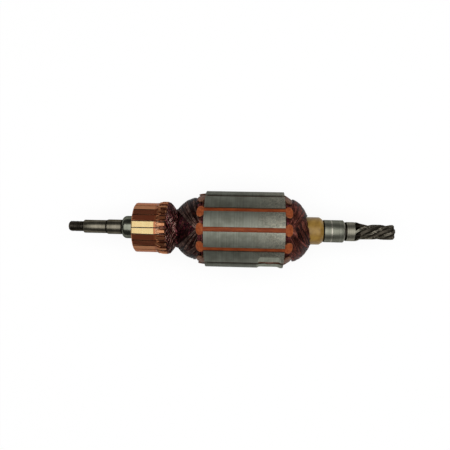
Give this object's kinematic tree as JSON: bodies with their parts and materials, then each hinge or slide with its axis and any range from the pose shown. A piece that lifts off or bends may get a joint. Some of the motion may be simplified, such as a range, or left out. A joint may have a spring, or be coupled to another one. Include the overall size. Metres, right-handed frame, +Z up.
{
  "type": "motor armature",
  "caption": "Wound rotor of a brush motor: slotted laminated core, copper hook commutator, coil heads under fibre wedges, and a stepped shaft with an integral helical pinion.",
  "frame": {"origin": "middle of the overall length, on the surface that the core lies on", "axes": "+X along the shaft towards the pinion, +Z up through a core slot"},
  "size_m": [0.2198, 0.0512, 0.0511],
  "materials": {
    "shaft_steel": "ground",
    "core_steel": "ground across the stack",
    "commutator_copper": "turned, polished by brushes",
    "winding_wire": "enamelled",
    "slot_fibre": "calendered",
    "slot_paper": "matte",
    "sleeve_resin": "turned",
    "moulding_resin": "moulded"
  },
  "bodies": {
    "root": {"shaft": "shaft_steel", "bearing_spacer_collar": "shaft_steel", "insulating_sleeve": "sleeve_resin", "core_stack": "core_steel", "end_fibre_rear": "slot_fibre", "end_fibre_front": "slot_fibre", "rear_coil_heads": "winding_wire", "front_coil_heads": "winding_wire", "coil_sides": "winding_wire", "commutator_leads": "winding_wire", "commutator_hub": "moulding_resin", "commutator_bar_01": "commutator_copper", "commutator_bar_02": "commutator_copper", "commutator_bar_03": "commutator_copper", "commutator_bar_04": "commutator_copper", "commutator_bar_05": "commutator_copper", "commutator_bar_06": "commutator_copper", "commutator_bar_07": "commutator_copper", "commutator_bar_08": "commutator_copper", "commutator_bar_09": "commutator_copper", "commutator_bar_10": "commutator_copper", "commutator_bar_11": "commutator_copper", "commutator_bar_12": "commutator_copper", "commutator_bar_13": "commutator_copper", "commutator_bar_14": "commutator_copper", "commutator_bar_15": "commutator_copper", "commutator_bar_16": "commutator_copper", "commutator_bar_17": "commutator_copper", "commutator_bar_18": "commutator_copper", "commutator_bar_19": "commutator_copper", "commutator_bar_20": "commutator_copper", "commutator_bar_21": "commutator_copper", "commutator_bar_22": "commutator_copper", "commutator_bar_23": "commutator_copper", "commutator_bar_24": "commutator_copper", "slot_wedge_01": "slot_fibre", "slot_liner_01": "slot_paper", "slot_wedge_02": "slot_fibre", "slot_liner_02": "slot_paper", "slot_wedge_03": "slot_fibre", "slot_liner_03": "slot_paper", "slot_wedge_04": "slot_fibre", "slot_liner_04": "slot_paper", "slot_wedge_05": "slot_fibre", "slot_liner_05": "slot_paper", "slot_wedge_06": "slot_fibre", "slot_liner_06": "slot_paper", "slot_wedge_07": "slot_fibre", "slot_liner_07": "slot_paper", "slot_wedge_08": "slot_fibre", "slot_liner_08": "slot_paper", "slot_wedge_09": "slot_fibre", "slot_liner_09": "slot_paper", "slot_wedge_10": "slot_fibre", "slot_liner_10": "slot_paper", "slot_wedge_11": "slot_fibre", "slot_liner_11": "slot_paper", "slot_wedge_12": "slot_fibre", "slot_liner_12": "slot_paper"}
  },
  "joints": []
}
